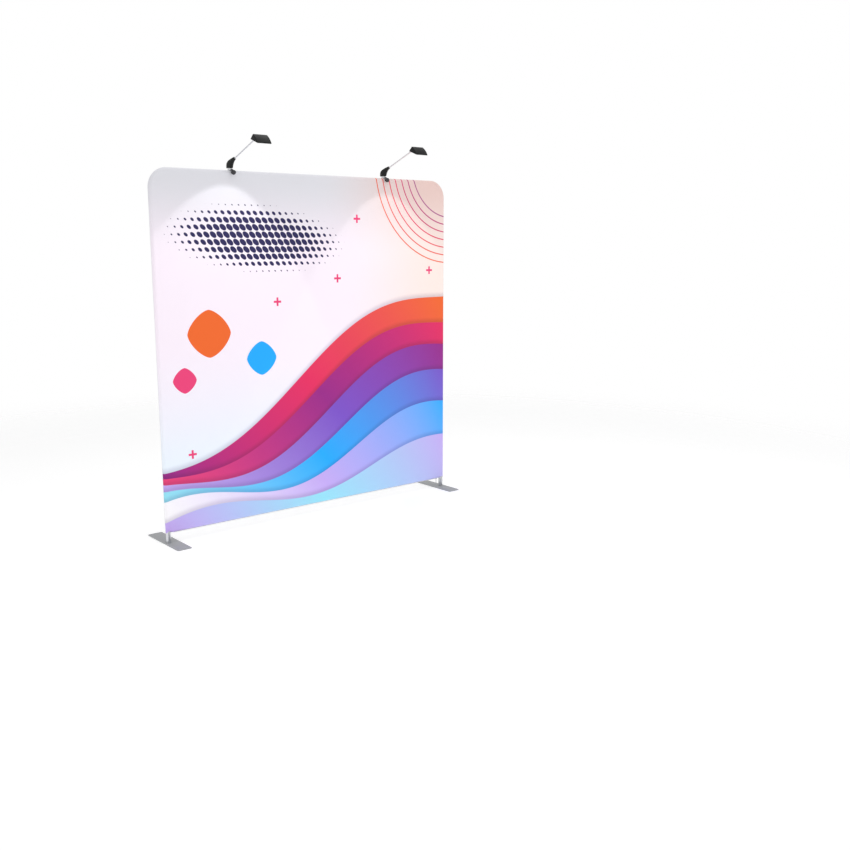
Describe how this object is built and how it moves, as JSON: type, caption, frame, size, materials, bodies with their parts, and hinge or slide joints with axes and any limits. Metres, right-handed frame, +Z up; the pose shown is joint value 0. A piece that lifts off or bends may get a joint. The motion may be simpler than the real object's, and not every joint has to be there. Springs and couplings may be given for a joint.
{
  "type": "straight tension fabric display",
  "caption": "Freestanding fabric display wall: a zipped cloth cover over a push-button tube frame on flat steel feet, lit by clamp-on arm lamps.",
  "frame": {"origin": "on the floor, under the centre of the bounding box", "axes": "+X to the display's right side seen from the printed front, +Y from the printed front to the back, +Z up"},
  "size_m": [2.3214, 0.6596, 2.4854],
  "materials": {
    "satin_aluminium": "satin anodised tube",
    "grey_coated_steel": "grey powder coat",
    "zinc_plated_steel": "zinc plated",
    "saddle_plastic": "moulded plastic",
    "printed_cloth": "dye-printed stretch knit",
    "white_cloth": "unprinted stretch knit",
    "zip_nylon": "woven tape with nylon coil",
    "black_plastic": "satin moulded plastic",
    "grey_knob_plastic": "moulded plastic",
    "dark_jaw_paint": "dark satin paint",
    "pad_rubber": "matt rubber",
    "chrome": "bright chrome tube",
    "black_hood_paint": "black satin paint",
    "frosted_lens": "frosted diffuser",
    "led_board_white": "white solder mask with diodes"
  },
  "bodies": {
    "frame": {"left_lower_upright": "satin_aluminium", "right_lower_upright": "satin_aluminium", "left_upper_upright": "satin_aluminium", "right_upper_upright": "satin_aluminium", "left_top_rail": "satin_aluminium", "right_top_rail": "satin_aluminium", "left_bottom_rail": "satin_aluminium", "right_bottom_rail": "satin_aluminium", "centre_pole_lower": "satin_aluminium", "centre_pole_upper": "satin_aluminium", "bottom_pole_saddle": "saddle_plastic", "top_pole_saddle": "saddle_plastic", "front_cover": "printed_cloth", "back_cover": "white_cloth", "zip_chain": "zip_nylon"},
    "left_foot": {"left_foot_plate": "grey_coated_steel", "left_foot_post": "zinc_plated_steel", "left_foot_bolt": "zinc_plated_steel"},
    "right_foot": {"right_foot_plate": "grey_coated_steel", "right_foot_post": "zinc_plated_steel", "right_foot_bolt": "zinc_plated_steel"},
    "left_upright_button_clip": {"left_upright_button": "zinc_plated_steel"},
    "right_upright_button_clip": {"right_upright_button": "zinc_plated_steel"},
    "left_corner_button_clip": {"left_corner_button": "zinc_plated_steel"},
    "right_corner_button_clip": {"right_corner_button": "zinc_plated_steel"},
    "top_rail_button_clip": {"top_rail_button": "zinc_plated_steel"},
    "left_stub_button_clip": {"left_stub_button": "zinc_plated_steel"},
    "right_stub_button_clip": {"right_stub_button": "zinc_plated_steel"},
    "bottom_rail_button_clip": {"bottom_rail_button": "zinc_plated_steel"},
    "centre_pole_button_clip": {"centre_pole_button": "zinc_plated_steel"},
    "zip_slider": {"zip_slider": "zinc_plated_steel"},
    "zip_pull": {"zip_pull": "zinc_plated_steel"},
    "left_lamp_clamp": {"left_lamp_clamp_bracket": "satin_aluminium", "left_lamp_clamp_jaw": "dark_jaw_paint", "left_lamp_swivel_disc": "satin_aluminium"},
    "left_lamp_clamp_pad": {"left_lamp_clamp_pad": "pad_rubber"},
    "left_lamp_clamp_knob": {"left_lamp_clamp_screw": "zinc_plated_steel", "left_lamp_clamp_knob": "grey_knob_plastic"},
    "left_lamp_holder": {"left_lamp_holder": "black_plastic", "left_lamp_cable_gland": "pad_rubber", "left_lamp_arm": "chrome"},
    "left_lamp_head": {"left_lamp_hood": "black_hood_paint", "left_lamp_lens_bezel": "black_hood_paint", "left_lamp_lens": "frosted_lens", "left_lamp_led_board": "led_board_white", "left_lamp_hinge_pin": "zinc_plated_steel"},
    "right_lamp_clamp": {"right_lamp_clamp_bracket": "satin_aluminium", "right_lamp_clamp_jaw": "dark_jaw_paint", "right_lamp_swivel_disc": "satin_aluminium"},
    "right_lamp_clamp_pad": {"right_lamp_clamp_pad": "pad_rubber"},
    "right_lamp_clamp_knob": {"right_lamp_clamp_screw": "zinc_plated_steel", "right_lamp_clamp_knob": "grey_knob_plastic"},
    "right_lamp_holder": {"right_lamp_holder": "black_plastic", "right_lamp_cable_gland": "pad_rubber", "right_lamp_arm": "chrome"},
    "right_lamp_head": {"right_lamp_hood": "black_hood_paint", "right_lamp_lens_bezel": "black_hood_paint", "right_lamp_lens": "frosted_lens", "right_lamp_led_board": "led_board_white", "right_lamp_hinge_pin": "zinc_plated_steel"}
  },
  "joints": [
    {"name": "left_foot_swivel", "type": "hinge", "parent": "frame", "child": "left_foot", "pos_m": [-1.1327, 0.08479, 0], "axis": [0, 0, 1], "range_deg": [-90, 90]},
    {"name": "right_foot_swivel", "type": "hinge", "parent": "frame", "child": "right_foot", "pos_m": [1.1327, 0.08479, 0], "axis": [0, 0, 1], "range_deg": [-90, 90]},
    {"name": "left_upright_button_press", "type": "slide", "parent": "frame", "child": "left_upright_button_clip", "axis": [-1, 0, 0], "range_m": [0, 0.0042], "stiffness_N_per_m": 1000, "springref_m": -0.002},
    {"name": "right_upright_button_press", "type": "slide", "parent": "frame", "child": "right_upright_button_clip", "axis": [1, 0, 0], "range_m": [0, 0.0042], "stiffness_N_per_m": 1000, "springref_m": -0.002},
    {"name": "left_corner_button_press", "type": "slide", "parent": "frame", "child": "left_corner_button_clip", "axis": [0, 0, 1], "range_m": [0, 0.0042], "stiffness_N_per_m": 1000, "springref_m": -0.002},
    {"name": "right_corner_button_press", "type": "slide", "parent": "frame", "child": "right_corner_button_clip", "axis": [0, 0, 1], "range_m": [0, 0.0042], "stiffness_N_per_m": 1000, "springref_m": -0.002},
    {"name": "top_rail_button_press", "type": "slide", "parent": "frame", "child": "top_rail_button_clip", "axis": [0, 0, 1], "range_m": [0, 0.0042], "stiffness_N_per_m": 1000, "springref_m": -0.002},
    {"name": "left_stub_button_press", "type": "slide", "parent": "frame", "child": "left_stub_button_clip", "axis": [0, 0, -1], "range_m": [0, 0.0042], "stiffness_N_per_m": 1000, "springref_m": -0.002},
    {"name": "right_stub_button_press", "type": "slide", "parent": "frame", "child": "right_stub_button_clip", "axis": [0, 0, -1], "range_m": [0, 0.0042], "stiffness_N_per_m": 1000, "springref_m": -0.002},
    {"name": "bottom_rail_button_press", "type": "slide", "parent": "frame", "child": "bottom_rail_button_clip", "axis": [0, 0, -1], "range_m": [0, 0.0042], "stiffness_N_per_m": 1000, "springref_m": -0.002},
    {"name": "centre_pole_button_press", "type": "slide", "parent": "frame", "child": "centre_pole_button_clip", "axis": [-1, 0, 0], "range_m": [0, 0.0042], "stiffness_N_per_m": 1000, "springref_m": -0.002},
    {"name": "zip_slide", "type": "slide", "parent": "frame", "child": "zip_slider", "axis": [1, 0, 0], "range_m": [-2.1734, 0]},
    {"name": "zip_pull_swing", "type": "hinge", "parent": "zip_slider", "child": "zip_pull", "pos_m": [1.0867, 0.08479, 0.0628], "axis": [0, 1, 0], "range_deg": [-85, 85]},
    {"name": "left_lamp_clamp_slide", "type": "slide", "parent": "frame", "child": "left_lamp_clamp", "axis": [1, 0, 0], "range_m": [-0.4, 0.5]},
    {"name": "left_lamp_pad_travel", "type": "slide", "parent": "left_lamp_clamp", "child": "left_lamp_clamp_pad", "axis": [0, -1, 0], "range_m": [0, 0.005]},
    {"name": "left_lamp_knob_turn", "type": "hinge", "parent": "left_lamp_clamp_pad", "child": "left_lamp_clamp_knob", "pos_m": [-0.601, 0.06719, 2.2867], "axis": [0, -1, 0], "range_deg": [0, 1800]},
    {"name": "left_lamp_arm_swivel", "type": "hinge", "parent": "left_lamp_clamp", "child": "left_lamp_holder", "pos_m": [-0.601, 0.08979, 2.3136], "axis": [0, 0, 1], "range_deg": [-90, 90]},
    {"name": "left_lamp_head_tilt", "type": "hinge", "parent": "left_lamp_holder", "child": "left_lamp_head", "pos_m": [-0.601, -0.26086, 2.47774], "axis": [1, 0, 0], "range_deg": [-70, 20]},
    {"name": "right_lamp_clamp_slide", "type": "slide", "parent": "frame", "child": "right_lamp_clamp", "axis": [1, 0, 0], "range_m": [-0.5, 0.4]},
    {"name": "right_lamp_pad_travel", "type": "slide", "parent": "right_lamp_clamp", "child": "right_lamp_clamp_pad", "axis": [0, -1, 0], "range_m": [0, 0.005]},
    {"name": "right_lamp_knob_turn", "type": "hinge", "parent": "right_lamp_clamp_pad", "child": "right_lamp_clamp_knob", "pos_m": [0.601, 0.06719, 2.2867], "axis": [0, -1, 0], "range_deg": [0, 1800]},
    {"name": "right_lamp_arm_swivel", "type": "hinge", "parent": "right_lamp_clamp", "child": "right_lamp_holder", "pos_m": [0.601, 0.08979, 2.3136], "axis": [0, 0, 1], "range_deg": [-90, 90]},
    {"name": "right_lamp_head_tilt", "type": "hinge", "parent": "right_lamp_holder", "child": "right_lamp_head", "pos_m": [0.601, -0.26086, 2.47774], "axis": [1, 0, 0], "range_deg": [-70, 20]}
  ],
  "couplings": [
    {"joint": "left_lamp_knob_turn", "follows": "left_lamp_pad_travel", "rad_per_m": 6283.2},
    {"joint": "right_lamp_knob_turn", "follows": "right_lamp_pad_travel", "rad_per_m": 6283.2}
  ]
}
